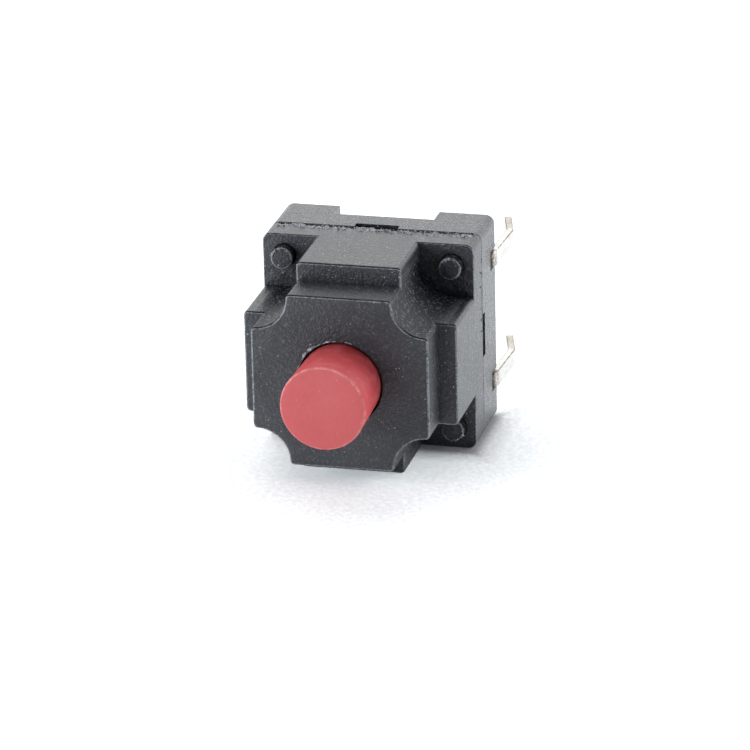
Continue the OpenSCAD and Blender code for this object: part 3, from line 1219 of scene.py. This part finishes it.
class PUSHBUTTON_OT_contact(Operator):
    """Silicone dome between the base and the plunger, and its carbon pill"""

    bl_idname = "pushbutton.contact"
    bl_label = "Dome and pill"

    def execute(self, context):
        low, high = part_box("rubber_dome")
        outer = (high.x - low.x) / 2 / MM
        inner = outer - DOME_RING
        crown, top = DOME_CROWN
        profile = [
            (0.0, crown + PILL_DEPTH),
            (PILL_R, crown + PILL_DEPTH),
            (PILL_R, crown),
            (CROWN_R[0], crown),
            (inner, DOME_FLANGE - DOME_SKIN),
            (inner, DOME_FOOT),
            (outer, DOME_FOOT),
            (outer, DOME_FLANGE),
            (inner + DOME_SKIN, DOME_FLANGE),
            (CROWN_R[1], crown + DOME_SKIN),
            (CROWN_R[1], top - CROWN_EDGE),
            (CROWN_R[1] - CROWN_EDGE, top),
            (0.0, top),
        ]
        mesh = lathe("dome_bell", profile, ROUND)
        dome = new_piece(mesh, silicone(), None, "rubber_dome")
        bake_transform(dome)
        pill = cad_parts["contact_pill"]
        pill.data.materials.clear()
        pill.data.materials.append(carbon_rubber())
        return {"FINISHED"}


class PUSHBUTTON_OT_terminals(Operator):
    """Stamped terminals: tinned faces and bare cut edges"""

    bl_idname = "pushbutton.terminals"
    bl_label = "Terminals"

    def execute(self, context):
        look = context.scene.pushbutton_lead
        finish = tinned_metal(look)
        strips = (("terminal_upper", "strip_upper", 1), ("terminal_lower", "strip_lower", -1))
        for node, name, side in strips:
            strip = strip_shell(name, side, look.edge_round / MM, finish)
            attach(strip, "housing", node)
        return {"FINISHED"}


def soft_light(name, place, size, brightness, color):
    """Rectangular light that looks at the switch, given by the brightness of its face"""
    target = Vector((0, 0, 0.004))
    data = bpy.data.lights.new(name, "AREA")
    data.shape = "RECTANGLE"
    data.size, data.size_y = size
    data.energy = brightness * math.pi * size[0] * size[1]
    data.color = color
    made = linked(name, data)
    made.location = place
    made.rotation_euler = (target - Vector(place)).to_track_quat("-Z", "Y").to_euler()


def fitted_camera(look):
    """Camera at an angle and a distance from the point that it looks at"""
    data = bpy.data.cameras.new("camera")
    data.lens = look.lens
    data.sensor_width = SENSOR_WIDTH
    data.clip_start = 0.01
    data.clip_end = 20.0
    camera = linked("camera", data)
    a, e, r = look.azimuth, look.elevation, look.roll
    back = Vector((math.sin(a) * math.cos(e), -math.cos(a) * math.cos(e), math.sin(e)))
    level = Vector((math.cos(a), math.sin(a), 0.0))
    upright = back.cross(level)
    right = math.cos(r) * level + math.sin(r) * upright
    up = math.cos(r) * upright - math.sin(r) * level
    place = Matrix.Translation(Vector(look.aim) + back * look.distance)
    camera.matrix_world = place @ Matrix((right, up, back)).transposed().to_4x4()
    return camera


class PUSHBUTTON_OT_stage(Operator):
    """White floor, soft studio light and the camera"""

    bl_idname = "pushbutton.stage"
    bl_label = "Stage"

    def execute(self, context):
        scene = context.scene
        look = scene.pushbutton_stage
        scene.view_settings.view_transform = "Standard"

        corners = [(x * FLOOR_HALF, y * FLOOR_HALF, 0) for x, y in ((-1, -1), (1, -1), (1, 1), (-1, 1))]
        floor = linked("floor", band_mesh("floor", [corners]))
        floor.data.materials.append(floor_paper(look))

        world = bpy.data.worlds.new("surroundings")
        scene.world = world
        world.use_nodes = True
        sky = world.node_tree.nodes["Background"]
        sky.inputs["Color"].default_value = (0.96, 0.98, 1.0, 1.0)
        sky.inputs["Strength"].default_value = look.sky

        soft_light("panel_back", (0.05, 0.45, 0.22), (0.9, 0.42), look.back, (1.0, 1.0, 1.0))
        soft_light("panel_right", (0.45, 0.12, 0.2), (0.6, 0.4), look.side, (1.0, 1.0, 1.0))
        soft_light("softbox_top", (-0.13, 0.09, 0.28), (0.30, 0.25), look.top, (1.0, 0.99, 0.98))
        soft_light("fill_left", (-0.28, -0.22, 0.11), (0.2, 0.2), look.fill, (0.97, 0.98, 1.0))
        scene.camera = fitted_camera(look)
        return {"FINISHED"}


class PUSHBUTTON_PT_looks(Panel):
    """Settings and steps of the pushbutton's looks"""

    bl_idname = "PUSHBUTTON_PT_looks"
    bl_label = "Pushbutton"
    bl_space_type = "VIEW_3D"
    bl_region_type = "UI"
    bl_category = "Pushbutton"

    def draw(self, context):
        for step, name, group in STEPS:
            box = self.layout.box()
            box.operator(step.bl_idname)
            for key in group.__annotations__ if group else ():
                box.prop(getattr(context.scene, name), key)


# Each step's operator, and the name and the kind of its group of settings, if it has one
STEPS = (
    (PUSHBUTTON_OT_housing, "pushbutton_housing", HousingLook),
    (PUSHBUTTON_OT_flash, "pushbutton_flash", FlashLook),
    (PUSHBUTTON_OT_plunger, "pushbutton_plunger", PlungerLook),
    (PUSHBUTTON_OT_contact, "", None),
    (PUSHBUTTON_OT_terminals, "pushbutton_lead", LeadLook),
    (PUSHBUTTON_OT_stage, "pushbutton_stage", StageLook),
)
GROUPS = {name: group for _, name, group in STEPS if group}
CLASSES = (*GROUPS.values(), *(step for step, _, _ in STEPS), PUSHBUTTON_PT_looks)


def register():
    for item in CLASSES:
        bpy.utils.register_class(item)
    for name, group in GROUPS.items():
        setattr(bpy.types.Scene, name, PointerProperty(type=group))


def unregister():
    for name in GROUPS:
        delattr(bpy.types.Scene, name)
    for item in reversed(CLASSES):
        bpy.utils.unregister_class(item)


def main():
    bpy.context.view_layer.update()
    register()
    bpy.ops.pushbutton.housing()
    bpy.ops.pushbutton.flash()
    bpy.ops.pushbutton.plunger()
    bpy.ops.pushbutton.contact()
    bpy.ops.pushbutton.terminals()
    bpy.ops.pushbutton.stage()


if __name__ == "__main__":
    main()
